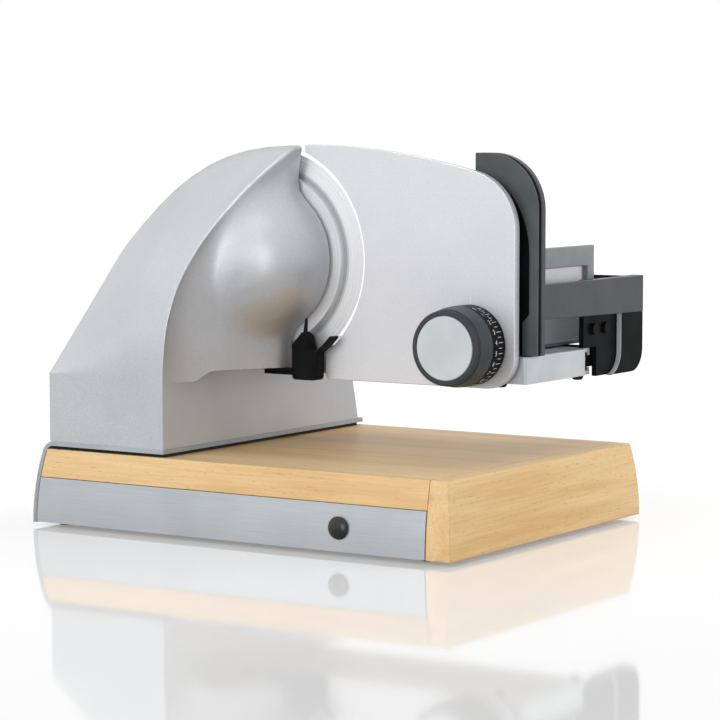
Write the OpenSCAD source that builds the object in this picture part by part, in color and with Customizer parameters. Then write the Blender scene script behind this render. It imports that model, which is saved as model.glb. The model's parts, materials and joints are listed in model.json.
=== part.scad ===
// Electric food slicer on a beech base with a drawer.
// X runs along the drawer front, Y away from the user, Z up. Lengths are in millimetres.

/* [Base] */
// Length of the base along X
base_l = 379; // [370:1:400]
// Depth of the base along Y
base_w = 294; // [288:1:320]
// Height of the wooden base above its feet
wood_h = 57.2; // [52:0.1:66]
// Thickness of the beech top board
board_t = 21.4; // [18:0.1:25]
// Width of the right wooden rail
side_rail_w = 20.5; // [17:0.5:24]
// Width of the left wooden rail
left_rail_w = 14; // [11:0.5:18]
// Width of the wooden rail at the back
back_rail_w = 20; // [14:0.5:26]
// How far the two ends lean in between bottom and top
end_lean = 5.5; // [4:0.5:8]
// How far front and back lean in between bottom and top
front_lean = 6.5; // [4:0.5:8]
// Thickness of the bottom panel
panel_t = 3; // [2:0.5:4]
// Height of the rubber feet
foot_h = 3; // [2:0.5:5]
// Diameter of the rubber feet
foot_d = 14; // [11:1:18]

/* [Drawer] */
// Thickness of the drawer front at its foot
front_t = 5; // [4:0.5:7]
// Sheet thickness of the drawer tray
tray_t = 1.5; // [1:0.1:2.5]
// Width of the two drawer runners
runner_w = 7; // [5:0.5:9]
// Height of the two drawer runners
runner_h = 6; // [4:0.5:8]
// Diameter of the drawer knob
pull_d = 17; // [13:0.5:20]
// How far the drawer knob stands proud
pull_out = 4.5; // [4:0.5:10]
// Drawer knob to the right end of the base
pull_in = 94; // [80:1:130]

/* [Base plate] */
// Thickness of the seal under the plate
seal_t = 2.6; // [1.5:0.1:4]
// Thickness of the bent aluminium plate
plate_t = 3.4; // [2.5:0.1:4.5]
// Outer radius of the bend at the left edge
bend_r = 9; // [7:0.5:12]

/* [Tower] */
// Width of the tower along X
tower_w = 109.7; // [106:0.5:118]
// Depth of the tower along Y
tower_d = 272.3; // [262:0.5:276]
// Tower front to the front of the base
tower_front = 8.7; // [8.5:0.1:12]
// Tower side to the left end of the base
tower_left = 10.5; // [10:0.5:14]
// Height of the box-shaped lower part
box_h = 53.3; // [51:0.1:58]
// Lean of the back wall over the height of the box
back_lean = 13; // [8:0.5:18]
// Wall thickness of the casting
wall = 3; // [2.5:0.1:3.5]
// Depth of the hood from the front to the blade side
hood_d = 104.3; // [102:0.1:108]
// Depth of the straight rim at the blade side
hood_rim = 8; // [6:0.5:10]
// Rise of the hood along its left edge
left_rise = 95; // [92:0.5:102]
// Rise of the hood along its ridge
ridge_rise = 176.5; // [174:0.5:184]
// Shape of the ridge: a smaller power gives a steeper front
ridge_power = 0.437; // [0.41:0.001:0.46]
// How far the hood overhangs the box at the blade side
head_over = 58.6; // [56:0.1:60]
// Radius of the dome over the gear wheel
dome_r = 58.4; // [56:0.1:61]

/* [Blade] */
// Diameter of the blade
blade_d = 170; // [166:1:171]
// Blade axis to the right side of the tower box
blade_over = 24.4; // [23:0.1:26]
// Blade axis above the base plate
blade_up = 141.7; // [141:0.1:144]
// Cutting plane beyond the back of the hood
blade_out = 7; // [6.5:0.1:9]
// Thickness of the blade
blade_t = 1.5; // [1:0.1:2]
// Diameter of the blade shaft
shaft_d = 12; // [10:0.5:14]

/* [Gears] */
// Tooth size of both gear stages
gear_mod = 1.5; // [1.4:0.05:1.55]
// Teeth of the two large wheels
wheel_teeth = 48; // [46:1:50]
// Teeth of the two pinions
pinion_teeth = 12; // [12:1:13]
// Width of the first gear stage
gear_w = 9; // [7:0.5:10]
// Diameter of the motor's stator
motor_d = 62; // [54:1:63]
// Length of the stator's iron core
core_l = 20; // [15:0.5:22]
// Diameter of the motor shaft
motor_shaft_d = 7; // [6:0.5:8]

/* [Gauge plate] */
// Thickness of the gauge plate
gauge_t = 7; // [5:0.5:7.5]
// Gap between the blade and the plate
blade_gap = 5.2; // [2.8:0.1:6]
// Right edge of the plate from the blade axis
gauge_right = 222; // [218:0.5:228]
// Top of the plate above the blade axis
gauge_top = 88.9; // [88.5:0.1:94]
// Bottom of the plate below the blade axis
gauge_low = 91.9; // [91:0.1:94]
// Radius of the upper right corner
corner_r = 45; // [36:1:50]
// Radius of the lower right corner
low_corner_r = 24; // [16:1:28]
// Greatest slice thickness, the plate's travel
slice_max = 20; // [14:1:22]

/* [Thickness knob] */
// Diameter of the knob's grip
grip_d = 56; // [50:0.5:58]
// Diameter of the scale ring
scale_d = 60.6; // [59:0.1:62]
// Depth of the knob in front of the plate
knob_depth = 38; // [36:0.5:44]
// Depth of the scale ring
scale_w = 18; // [14:0.5:20]
// Diameter of the inlay on the knob's face
inlay_d = 48; // [42:0.5:49]
// Knob axis to the right edge of the plate
knob_in = 37.9; // [36:0.1:42]
// Knob axis above the bottom of the plate
knob_up = 32; // [31:0.1:36]
// Diameter of the fixed spindle
spindle_d = 10; // [8:0.5:11]

/* [Rail and carriage] */
// Width of the rail along Y
rail_w = 105; // [98:1:110]
// Height of the rail
rail_h = 20.5; // [19:0.5:23]
// Wall thickness of the rail
rail_t = 3; // [2:0.1:3.5]
// Rail end beyond the right edge of the gauge plate
rail_out = 5.3; // [3:0.1:8]
// Thickness of the carriage's plastic walls
shell_t = 5; // [4:0.1:6]
// Right face of the carriage beyond the gauge plate
carriage_out = 11.1; // [9:0.1:14]
// Width of the thumb guard along X
guard_w = 53.6; // [50:0.2:60]
// Thickness of the thumb guard
guard_t = 12.7; // [11:0.1:14]
// Height of the thumb guard
guard_h = 150.6; // [140:0.2:160]
// Radius of the thumb guard's outer top corner
guard_r = 42; // [34:1:48]
// Height of the band of the grip wall
band_h = 26.4; // [20:0.2:30]
// Band's lower edge above the rail
band_up = 27; // [24:0.2:32]
// Depth of the carriage from the front of the thumb guard
carriage_d = 172.7; // [165:0.1:176]
// Width of the leg at the far end of the grip wall
leg_w = 36; // [30:0.5:42]
// Room for the fingers between grip wall and inner panel
finger_gap = 27; // [24:0.5:30]

/* [Hidden] */
$fn = 48;

// Clearances shared by the pieces
slip = 0.05;          // radial room of a running fit
seat_gap = 0.5;       // gap between pieces that pass each other
slide_gap = 0.4;      // height of a sliding gap
cheek_gap = 0.6;      // dark gap between the bent plate and the wood
through = 1;          // how far a cut runs past a face

// Base
base_x0 = -base_l / 2;
base_x1 = base_l / 2;
base_y0 = -base_w / 2;
base_y1 = base_w / 2;
wood_top = foot_h + wood_h;
board_z = wood_top - board_t;
plate_z = wood_top + seal_t;
plate_top = plate_z + plate_t;
end_r = wood_h * wood_h / (2 * end_lean) + end_lean / 2;
front_r = wood_h * wood_h / (2 * front_lean) + front_lean / 2;
wood_inset = plate_t + cheek_gap;
left_rail_x = base_x0 + wood_inset + left_rail_w;
right_rail_x = base_x1 - side_rail_w;
inner_y0 = base_y0 + front_t;
back_rail_y = base_y1 - back_rail_w;
panel_top = foot_h + panel_t;
foot_in = 21;
foot_chamfer = 0.8;

// Drawer
front_z0 = foot_h + seat_gap;
front_z1 = board_z - seat_gap;
runner_top = front_z1 - 5;
tray_x0 = left_rail_x + runner_w + 1.5;
tray_x1 = right_rail_x - runner_w - 1.5;
tray_y1 = back_rail_y - 2;
tray_z0 = panel_top + seat_gap;
tray_z1 = runner_top + slide_gap + tray_t;
pull_x = base_x1 - pull_in;
pull_z = (front_z0 + front_z1) / 2;
pull_neck_d = 7;
pull_face_y = base_y0 - pull_out;
pull_bore_d = 4;

// Tower
tower_x0 = base_x0 + tower_left;
tower_x1 = tower_x0 + tower_w;
tower_y0 = base_y0 + tower_front;
tower_y1 = tower_y0 + tower_d;
tower_xm = (tower_x0 + tower_x1) / 2;
crease_z = plate_top + box_h;
hood_y1 = tower_y0 + hood_d;
rim_y = hood_y1 - hood_rim;
back_wall = 4;
wall_y = hood_y1 - back_wall;
head_z = crease_z + 4.5;
scoop_y0 = tower_y0 + 30;
scoop_y1 = tower_y0 + 45;
scoop_drop = 3.5;
hollow = 12;
hollow_blend = 8;
crown = [0.69, 0.72];
crown_low = 80;
crown_high = 75;
dome_blend = 14;
neck_blend = 8;
ridge_round = 5;
lean_angle = atan(back_lean / box_h);
boss_d = 9;
boss_h = 24;
boss_in = wall + boss_d / 2 - 1;
screw_d = 4;
head_d = 2 * screw_d;
head_t = 2.4;
head_room_d = head_d + 2;

// Blade, with its cutting edge in the plane blade_y
blade_x = tower_x1 + blade_over;
blade_z = plate_top + blade_up;
blade_y = hood_y1 + blade_out;
blade_r = blade_d / 2;
dish = 3;
bevel_r = blade_r - 13;
bevel_rise = 0.7;
step_w = 5;
hub_y = blade_y - dish - blade_t;
hub_d = 44;
hub_t = 1.7;
bush_d = shaft_d + 6;
bush_l = 10;

// Gear train: blade wheel, idler and motor, on axes along Y
pressure = 25;
backlash = 0.12;
stage_l = gear_mod * (wheel_teeth + pinion_teeth) / 2;
idler_dir = 222;
motor_dir = 232;
idler_x = blade_x + stage_l * cos(idler_dir);
idler_z = blade_z + stage_l * sin(idler_dir);
motor_x = idler_x + stage_l * cos(motor_dir);
motor_z = idler_z + stage_l * sin(motor_dir);
pin_d = 8;
blade_gear_y = wall_y - 7;
idler_wheel_y = blade_gear_y - gear_w - 2;
shield_y = idler_wheel_y - gear_w - 3;
shield_t = 4;
wind_l = 7;
core_y = shield_y - shield_t - wind_l;
front_shield_y = core_y - core_l - wind_l;
motor_end_y = front_shield_y - shield_t;
fan_l = 5;
fan_y = motor_end_y - 1;
fan_d = 0.66 * motor_d;
fins = 9;
fin_t = 1.4;
post_r = motor_d / 2 - 5;
post_d = 8;
core_bore = motor_d - 25;
wind_in = core_bore / 2 + 1;
wind_out = motor_d / 2 - 4;

// Start button on the left wall of the hood
button_y = hood_y1 - 36;
button_z = crease_z + 28;
button_d = 22;
button_hole_d = button_d + 2 * seat_gap;
button_out = 4;
button_travel = 3;
button_in = 9;
switch_l = 24;
switch_w = 34;

// Gauge plate and knob
gauge_y1 = blade_y;
gauge_y0 = gauge_y1 - gauge_t;
gauge_x1 = blade_x + gauge_right;
gauge_z0 = blade_z - gauge_low;
gauge_z1 = blade_z + gauge_top;
gauge_x0 = tower_x1 + head_over + 1.4;
gauge_foot_x = blade_x + 54.4;
top_arc_r = 600;
knob_x = gauge_x1 - knob_in;
knob_z = gauge_z0 + knob_up;
knob_y1 = gauge_y0 - seat_gap;
knob_y0 = gauge_y0 - knob_depth;
hub_bore_y = knob_y0 + 4;
knob_hub_d = spindle_d + 6;
clip_t = 1.2;

// Rail, in line with the gauge plate
rail_y0 = blade_y + 2;
rail_y1 = rail_y0 + rail_w;
rail_z0 = crease_z;
rail_z1 = rail_z0 + rail_h;
cap_t = 3.5;
rail_x0 = tower_x0 + 12;
rail_x1 = gauge_x1 + rail_out - cap_t;
slot_w = 9;
slot_y0 = rail_y1 - rail_t - slot_w;
slot_h = rail_h - 2 * rail_t;
mouth_in = 2.5;
mouth_z = rail_z0 + rail_t + mouth_in;
mouth_h = slot_h - 2 * mouth_in;
guide_l = 18;
rod_d = 8;
rod_z = rail_z0 + rail_h / 2;
guide_x = [blade_x + 105, gauge_x1 - 30];
rod_l = guide_l + slice_max + 10;
rod_collar_t = 1.5;
bush_wall = 2;
bracket_w = 15;
bracket_t = 4;
bracket_y = rail_y0 + 0.5;
spindle_tip_y = gauge_y0 - 32;

// Carriage
carriage_x1 = gauge_x1 + carriage_out;
guard_y0 = blade_y + 7;
guard_y1 = guard_y0 + guard_t;
guard_x0 = carriage_x1 - guard_w;
guard_z0 = rail_z1 + slide_gap;
carriage_y1 = guard_y0 + carriage_d;
band_z0 = rail_z1 + band_up;
band_z1 = band_z0 + band_h;
leg_z0 = rail_z0 - 1.5;
leg_r = 18;
band_x0 = carriage_x1 - shell_t;
inner_x1 = band_x0 - finger_gap;
inner_t = 4;
inner_x0 = inner_x1 - inner_t;
inner_y1 = carriage_y1 - 23;
inner_z1 = band_z1 + 24;
inner_bar = 16;
inner_leg = 11;
sheet_t = 1.5;
tray_z = rail_z1 + 1;
food_x0 = blade_x + 20;
food_x1 = inner_x0;
food_y0 = blade_y + 3;
food_y1 = inner_y1 - inner_leg / 2;
strip_x1 = min(guard_x0, knob_x - bracket_w / 2) - 1.5;
shoe_l = 90;
shoe_in = 8;
shoe_t = 8;
shoe_out = 10;

// The origin is the bottom centre of the whole slicer
mid_x = (max(carriage_x1, base_x1) + base_x0) / 2;
mid_y = (max(carriage_y1, base_y1) + pull_face_y) / 2;
module place() translate([-mid_x, -mid_y, 0]) children();

// Helpers
module along_y(y0, y1) translate([0, y1, 0]) rotate([90, 0, 0]) linear_extrude(y1 - y0) children();
module along_x(x0, x1) translate([x0, 0, 0]) rotate([90, 0, 90]) linear_extrude(x1 - x0) children();
module block(a, b) translate(a) cube(b - a);
module rod_y(x, z, d, y0, y1) translate([x, y1, z]) rotate([90, 0, 0]) cylinder(d = d, h = y1 - y0);
module rod_x(y, z, d, x0, x1) translate([x0, y, z]) rotate([0, 90, 0]) cylinder(d = d, h = x1 - x0);
module tube_y(x, z, d, bore, y0, y1) difference() {
  rod_y(x, z, d, y0, y1);
  rod_y(x, z, bore, y0 - through, y1 + through);
}
// A profile of radius and depth, turned about an axis along Y; depth zero lies at y and grows towards +Y
module turned(x, z, y) translate([x, y, z]) rotate([-90, 0, 0]) rotate_extrude() children();
// Cylinders along Z, one at each place of a list
module upright(at, d, z0, z1) for (p = at) translate([p.x, p.y, z0]) cylinder(d = d, h = z1 - z0);
function mix(a, b, t) = a + (b - a) * t;
function arc(c, r, a0, a1, n) = [for (i = [0:n]) let (a = mix(a0, a1, i / n)) c + r * [cos(a), sin(a)]];
function ease(t) = let (s = min(max(t, 0), 1)) s * s * (3 - 2 * s);
function soft_max(a, b, k) = let (h = max(k - abs(a - b), 0) / k) max(a, b) + h * h * k / 4;

// Pillow shape of the base: upright at the bottom, leaning in towards the top on all sides
module base_form(left_inset = 0) intersection() {
  along_y(base_y0 - through, base_y1 + through) intersection() {
    translate([base_x0 + end_r, foot_h]) circle(end_r - left_inset, $fn = 240);
    translate([base_x1 - end_r, foot_h]) circle(end_r, $fn = 240);
  }
  front_form();
}
module front_form() along_x(base_x0 - through, base_x1 + through) intersection() {
  translate([base_y0 + front_r, foot_h]) circle(front_r, $fn = 240);
  translate([base_y1 - front_r, foot_h]) circle(front_r, $fn = 240);
}
module wood(a, b) color("burlywood") intersection() {
  base_form(wood_inset);
  block(a, b);
}

// Beech base
plate_screw_in = [24, 42];
plate_screw_l = 12;
plate_screw_at = [for (x = [tower_x0 + plate_screw_in.x, tower_x1 - plate_screw_in.x],
                       y = [tower_y0 + plate_screw_in.y, tower_y1 - plate_screw_in.y]) [x, y]];
boss_end = 12;
boss_at = [for (x = [tower_x0 + boss_in, tower_x1 - boss_in],
                y = [tower_y0 + boss_end, tower_y1 - back_lean - boss_end]) [x, y]];
module top_board() difference() {
  wood([base_x0, base_y0, board_z], [right_rail_x, base_y1, wood_top]);
  upright(plate_screw_at, screw_d + slip, wood_top - plate_screw_l - 2, wood_top + through);
  upright(boss_at, head_room_d, board_z - through, wood_top + through);
}
module right_rail() wood([right_rail_x, base_y0, foot_h], [base_x1, base_y1, wood_top]);
module left_rail() wood([base_x0, inner_y0, foot_h], [left_rail_x, base_y1, board_z]);
module back_rail() wood([left_rail_x, back_rail_y, foot_h], [right_rail_x, base_y1, board_z]);
module bottom_panel() color("tan")
  block([left_rail_x, inner_y0 + seat_gap, foot_h], [right_rail_x, back_rail_y, panel_top]);
module feet() color("black")
  for (x = [left_rail_x, right_rail_x - foot_d / 2 - 2], y = [base_y0 + foot_in, base_y1 - foot_in])
    translate([x, y, 0]) rotate_extrude() polygon([
      [0, 0], [foot_d / 2 - foot_chamfer, 0], [foot_d / 2, foot_chamfer], [foot_d / 2, foot_h], [0, foot_h]]);
module drawer_runners() color("dimgray") for (x = [left_rail_x, right_rail_x - runner_w])
  block([x, inner_y0 + 4, runner_top - runner_h], [x + runner_w, back_rail_y, runner_top]);

// Drawer
module drawer_front() color("silver") difference() {
  intersection() {
    base_form(wood_inset);
    block([base_x0, base_y0, front_z0], [right_rail_x - seat_gap, inner_y0 - seat_gap, front_z1]);
  }
  rod_y(pull_x, pull_z, pull_neck_d + 2 * slip, base_y0 - through, inner_y0 + through);
}
module drawer_tray() color("gainsboro") difference() {
  union() {
    block([tray_x0, inner_y0 - seat_gap, tray_z0], [tray_x1, tray_y1, tray_z1]);
    block([left_rail_x + seat_gap, inner_y0 + front_t, tray_z1 - tray_t],
          [right_rail_x - seat_gap, tray_y1, tray_z1]);
  }
  block([tray_x0 + tray_t, inner_y0 - seat_gap + tray_t, tray_z0 + tray_t],
        [tray_x1 - tray_t, tray_y1 - tray_t, tray_z1 + through]);
  rod_y(pull_x, pull_z, pull_bore_d + 2 * slip, inner_y0 - through, inner_y0 + tray_t + through);
}
module drawer_knob() color([0.12, 0.12, 0.13]) difference() {
  turned(pull_x, pull_z, pull_face_y) intersection() {
    union() {
      translate([0, pull_d * 0.8]) circle(pull_d * 0.8);
      translate([0, pull_out - 1]) square([pull_neck_d / 2, front_t]);
    }
    union() {
      square([pull_d / 2, pull_out]);
      square([pull_neck_d / 2, pull_out + front_t - seat_gap]);
    }
  }
  rod_y(pull_x, pull_z, pull_bore_d, pull_face_y + 3, inner_y0 + through);
}
module drawer_knob_screw() color("darkgray") {
  rod_y(pull_x, pull_z, pull_bore_d, pull_face_y + 3, inner_y0 - seat_gap + tray_t);
  rod_y(pull_x, pull_z, 2 * pull_bore_d, inner_y0 - seat_gap + tray_t, inner_y0 + tray_t + 2);
}

// Bent plate: it lies under the tower and covers the left end of the base
bend_turn = asin((plate_top - foot_h - bend_r) / (end_r - bend_r));
end_c = [base_x0 + end_r, foot_h];
bend_c = end_c + (end_r - bend_r) * [-cos(bend_turn), sin(bend_turn)];
plate_x1 = tower_x1 + 1.3;
seal_in = 1.5;
module base_plate() color("silver") difference() {
  intersection() {
    along_y(base_y0, base_y1) polygon(concat(
      arc(end_c, end_r, 180, 180 - bend_turn, 10), arc(bend_c, bend_r, 180 - bend_turn, 90, 8),
      [[plate_x1, plate_top], [plate_x1, plate_z]],
      arc(bend_c, bend_r - plate_t, 90, 180 - bend_turn, 8),
      arc(end_c, end_r - plate_t, 180 - bend_turn, 180, 10)));
    front_form();
  }
  upright(concat(plate_screw_at, boss_at), screw_d + 2 * slip, plate_z - through, plate_top + through);
}
module plate_seal() color("black") difference() {
  block([bend_c.x, tower_y0 + seal_in, wood_top], [plate_x1 - seal_in, tower_y1 - seal_in, plate_z]);
  upright(plate_screw_at, screw_d + 2 * slip, wood_top - through, plate_z + through);
  upright(boss_at, head_room_d, wood_top - through, plate_z + through);
}
module plate_screws() color("darkgray") {
  upright(plate_screw_at, screw_d, wood_top - plate_screw_l, plate_top);
  upright(plate_screw_at, head_d, plate_top, plate_top + head_t);
}

// Hood: sections across Y that grow from the front wall to the outline at the blade.
// Its right face runs from a hollow wall into the dome; face_x finds the blended surface by halving a span.
function wall_x(z, w, d, low_z, ridge_z) =
  let (drop = 1 - min(max((z - low_z) / (ridge_z - low_z), 0), 1))
  tower_x1 - d + soft_max(head_over * w - hollow * sqrt(drop), 0, hollow_blend);
function outside(x, y, z, flat_x, d) =
  let (ball = norm([x - blade_x, y - hood_y1, z - blade_z]) - dome_r + 2 * d,
       blend = mix(neck_blend, dome_blend, ease((hood_y1 - y) / dome_r)))
  -soft_max(-ball, 0.85 * (flat_x - x), blend) > 0;
function face_x(y, z, flat_x, d, lo, hi, n) =
  let (m = (lo + hi) / 2, out = outside(m, y, z, flat_x, d))
  n == 0 ? m : face_x(y, z, flat_x, d, out ? lo : m, out ? m : hi, n - 1);
function section_low(y) = mix(crease_z - scoop_drop, head_z, ease((y - scoop_y0) / (scoop_y1 - scoop_y0)));
function bezier(a, b, c, e, t) =
  pow(1 - t, 3) * a + 3 * t * pow(1 - t, 2) * b + 3 * t * t * (1 - t) * c + pow(t, 3) * e;
function section(y, d, z0, top_n, side_n) =
  let (w = min(max((y - tower_y0 - d) / (rim_y - tower_y0), 0), 1),
       left = [tower_x0 + d, crease_z + left_rise * w - 1.2 * d],
       ridge = [tower_x1 - d + head_over * w, crease_z + ridge_rise * pow(w, ridge_power) - d],
       third = (ridge - left) / 3,
       bow = pow(w, 1.5),
       low = mix(left + third, left + crown_low * crown, bow),
       high = mix(ridge - third, ridge - [crown_high, 0], bow),
       low_z = section_low(y) + d,
       side_top = max(ridge.y - ridge_round, low_z + 1),
       crown_end = 1 - ridge_round / norm(ridge - left),
       near = bezier(left, low, high, ridge, crown_end),
       dome_x = blade_x + dome_r + dome_blend,
       side = [for (i = [0:side_n])
         let (z = mix(side_top, low_z, i / side_n), flat_x = wall_x(z, w, d, low_z, ridge.y))
         [face_x(y, z, flat_x, d, flat_x, dome_x, 20), z]])
  concat([[left.x, z0]],
    [for (i = [0:top_n - 1]) bezier(left, low, high, ridge, crown_end * i / top_n)],
    [for (t = [0:0.25:0.75]) pow(1 - t, 2) * near + 2 * t * (1 - t) * ridge + t * t * side[0]],
    side,
    [[tower_x1 - d, low_z - 0.4], [tower_x1 - d, z0]]);
module hood_loft(d, y0, y1, z0, steps, top_n, side_n) {
  ys = [for (k = [0:steps]) mix(y0, y1, pow(k / steps, 2.2))];
  rings = [for (y = ys) section(y, d, z0, top_n, side_n)];
  n = len(rings[0]);
  last = steps * n;
  middle = last + n;
  polyhedron(
    points = concat([for (k = [0:steps], p = rings[k]) [p.x, ys[k], p.y]],
      [[tower_xm, y0, (z0 + crease_z) / 2], [idler_x, y1, idler_z]]),
    faces = concat(
      [for (i = [0:n - 1]) [middle, i, (i + 1) % n]],
      [for (i = [0:n - 1]) [middle + 1, last + (i + 1) % n, last + i]],
      [for (k = [0:steps - 1], i = [0:n - 1], side = [0, 1]) let (a = k * n, j = (i + 1) % n)
        side == 0 ? [a + j, a + i, a + n + i] : [a + j, a + n + i, a + n + j]]));
}
module rear_box(d, z0) along_x(tower_x0 + d, tower_x1 - d)
  polygon([[hood_y1 - (d > 0 ? 30 : 0), z0], [tower_y1 - d, z0],
           [tower_y1 - d - back_lean, crease_z - d], [hood_y1 - (d > 0 ? 30 : 0), crease_z - d]]);
gland_z = plate_top + 22;
gland_y = tower_y1 - back_lean * 22 / box_h;
gland_d = 14;
module gland_frame() translate([tower_xm, gland_y, gland_z]) rotate([-90 + lean_angle, 0, 0]) children();
rail_screw_at = [for (x = [rail_x0 + 18, tower_x1 - 16], y = [rail_y0 + 14, slot_y0 - 12]) [x, y]];
module housing() color("silver") difference() {
  union() {
    difference() {
      union() {
        hood_loft(0, tower_y0, hood_y1, plate_top, 30, 9, 22);
        rear_box(0, plate_top);
      }
      hood_loft(wall, tower_y0 + wall, wall_y, plate_top - through, 18, 6, 14);
      rear_box(wall, plate_top - through);
    }
    upright(boss_at, boss_d, plate_top, plate_top + boss_h);
  }
  upright(boss_at, screw_d, plate_top - through, plate_top + boss_h - wall);
  rod_y(blade_x, blade_z, bush_d, wall_y - through, hood_y1 + through);
  rod_y(idler_x, idler_z, pin_d, wall_y - through, hood_y1 + through);
  rod_x(button_y, button_z, button_hole_d, tower_x0 - through, tower_x0 + wall + through);
  along_y(scoop_y1, hood_y1 + through) tip_outline();
  gland_frame() translate([0, 0, -4 * wall]) cylinder(d = gland_d, h = 8 * wall);
  upright(rail_screw_at, screw_d + 2 * slip, crease_z - 2 * wall, crease_z + through);
}
module housing_screws() color("darkgray") {
  upright(boss_at, screw_d, plate_z, plate_top + boss_h - 2 * wall);
  upright(boss_at, head_d, plate_z - head_t, plate_z);
}
module blade_bush() color("darkgoldenrod") difference() {
  union() {
    rod_y(blade_x, blade_z, bush_d, hood_y1 - bush_l, hood_y1);
    rod_y(blade_x, blade_z, bush_d + 6, wall_y - 2, wall_y);
  }
  rod_y(blade_x, blade_z, shaft_d + 2 * slip, hood_y1 - bush_l - through, hood_y1 + through);
}
module idler_pin() color("darkgray") {
  rod_y(idler_x, idler_z, pin_d, idler_wheel_y - gear_w - 1.5, hood_y1);
  rod_y(idler_x, idler_z, pin_d + 5, wall_y - 3, wall_y);
}

// Motor
module motor_posts() color("darkgray") for (turn = [90, 180, 270])
  rod_y(motor_x + post_r * cos(motor_dir + 180 + turn), motor_z + post_r * sin(motor_dir + 180 + turn),
        post_d, shield_y, wall_y);
module motor_shields() color("gray") for (y = [shield_y, front_shield_y])
  tube_y(motor_x, motor_z, motor_d, motor_shaft_d + 2 * slip, y - shield_t, y);
module stator_core() color("slategray") difference() {
  rod_y(motor_x, motor_z, motor_d, front_shield_y, shield_y - shield_t);
  rod_y(motor_x, motor_z, motor_d - 6, front_shield_y - through, core_y - core_l);
  rod_y(motor_x, motor_z, motor_d - 6, core_y, shield_y);
  rod_y(motor_x, motor_z, core_bore, front_shield_y - through, shield_y);
}
module windings() color("chocolate") for (y = [core_y - core_l - wind_l + 1, core_y])
  turned(motor_x, motor_z, y) intersection() {
    translate([(wind_in + wind_out) / 2, (wind_l - 1) / 2]) circle((wind_out - wind_in) / 2);
    square([motor_d, wind_l - 1]);
  }
module rotor_core() color("gray")
  tube_y(motor_x, motor_z, core_bore - 2 * seat_gap, motor_shaft_d, core_y - core_l, core_y);
module motor_shaft() color("darkgray")
  rod_y(motor_x, motor_z, motor_shaft_d, fan_y - fan_l - 1, idler_wheel_y + 1);
module motor_pinion() color("goldenrod") gear(motor_x, motor_z, pinion_teeth, motor_shaft_d,
  motor_dir + 180 + 180 / pinion_teeth, idler_wheel_y - gear_w, idler_wheel_y);
module cooling_fan() color("dimgray") difference() {
  union() {
    rod_y(motor_x, motor_z, motor_shaft_d + 5, fan_y - fan_l, fan_y);
    rod_y(motor_x, motor_z, fan_d, fan_y - 1, fan_y);
    for (i = [0:fins - 1]) translate([motor_x, 0, motor_z]) rotate([0, i * 360 / fins, 0])
      block([motor_shaft_d / 2 + 1, fan_y - fan_l, -fin_t / 2], [fan_d / 2 - 1, fan_y, fin_t / 2]);
  }
  rod_y(motor_x, motor_z, motor_shaft_d, fan_y - fan_l - through, fan_y + through);
}

// Spur gears with involute flanks; one tooth is centred on the direction turn
function involute(a) = tan(a) * 180 / PI - a;
function flank(r, base_r, half) = half - involute(acos(min(base_r / r, 1)));
module gear(x, z, teeth, bore, turn, y0, y1) {
  pitch_r = gear_mod * teeth / 2;
  base_r = pitch_r * cos(pressure);
  tip_r = pitch_r + gear_mod;
  root_r = pitch_r - 1.25 * gear_mod;
  start_r = max(base_r, root_r + 0.1);
  half = 90 / teeth - backlash / pitch_r * 90 / PI + involute(pressure);
  radii = [for (i = [0:3]) mix(start_r, tip_r, i / 3)];
  right_side = concat([[root_r, flank(start_r, base_r, half)]],
    [for (r = radii) [r, flank(r, base_r, half)]]);
  tooth = concat([for (p = right_side) [p[0], -p[1]]], [for (i = [4:-1:0]) right_side[i]]);
  difference() {
    translate([x, 0, z]) along_y(y0, y1) polygon([for (k = [0:teeth - 1], p = tooth)
      p[0] * [cos(turn + k * 360 / teeth + p[1]), sin(turn + k * 360 / teeth + p[1])]]);
    rod_y(x, z, bore, y0 - through, y1 + through);
  }
}
module blade_gear() color("ivory")
  gear(blade_x, blade_z, wheel_teeth, shaft_d, idler_dir, blade_gear_y - gear_w, blade_gear_y);
module idler_pinion() color("goldenrod") gear(idler_x, idler_z, pinion_teeth, pin_d + 2 * slip,
  idler_dir + 180 + 180 / pinion_teeth, blade_gear_y - gear_w, blade_gear_y);
module idler_wheel() color("ivory") {
  gear(idler_x, idler_z, wheel_teeth, pin_d + 2 * slip, motor_dir, idler_wheel_y - gear_w, idler_wheel_y);
  tube_y(idler_x, idler_z, pin_d + 5, pin_d + 2 * slip, idler_wheel_y, blade_gear_y - gear_w);
}

// Electrical pieces
cap_d = 34;
cap_l = 60;
cap_y = [slot_y0 - cap_l, slot_y0];
cap_z = plate_top + cap_d / 2 + 3;
clip_w = 20;
clip_h = 15;
module capacitor() color("whitesmoke") {
  rod_y(tower_xm, cap_z, cap_d, cap_y[0], cap_y[1]);
  rod_y(tower_xm, cap_z, cap_d / 2, cap_y[0] - 4, cap_y[0]);
}
module capacitor_clip() color("dimgray") difference() {
  block([tower_xm - cap_d / 2 - 2, (cap_y[0] + cap_y[1] - clip_w) / 2, plate_top],
        [tower_xm + cap_d / 2 + 2, (cap_y[0] + cap_y[1] + clip_w) / 2, plate_top + clip_h]);
  rod_y(tower_xm, cap_z, cap_d + 2 * slip, cap_y[0], cap_y[1]);
}
module switch_block() color([0.15, 0.15, 0.16]) difference() {
  block([tower_x0 + wall, button_y - switch_w / 2, button_z - switch_w / 2],
        [tower_x0 + wall + switch_l, button_y + switch_w / 2, button_z + switch_w / 2]);
  rod_x(button_y, button_z, button_hole_d, tower_x0, tower_x0 + wall + button_in + button_travel + 1);
}
module button_bezel() color([0.12, 0.12, 0.13]) difference() {
  rod_x(button_y, button_z, button_d + 10, tower_x0 - 2, tower_x0);
  rod_x(button_y, button_z, button_hole_d, tower_x0 - 3, tower_x0 + through);
}
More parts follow.
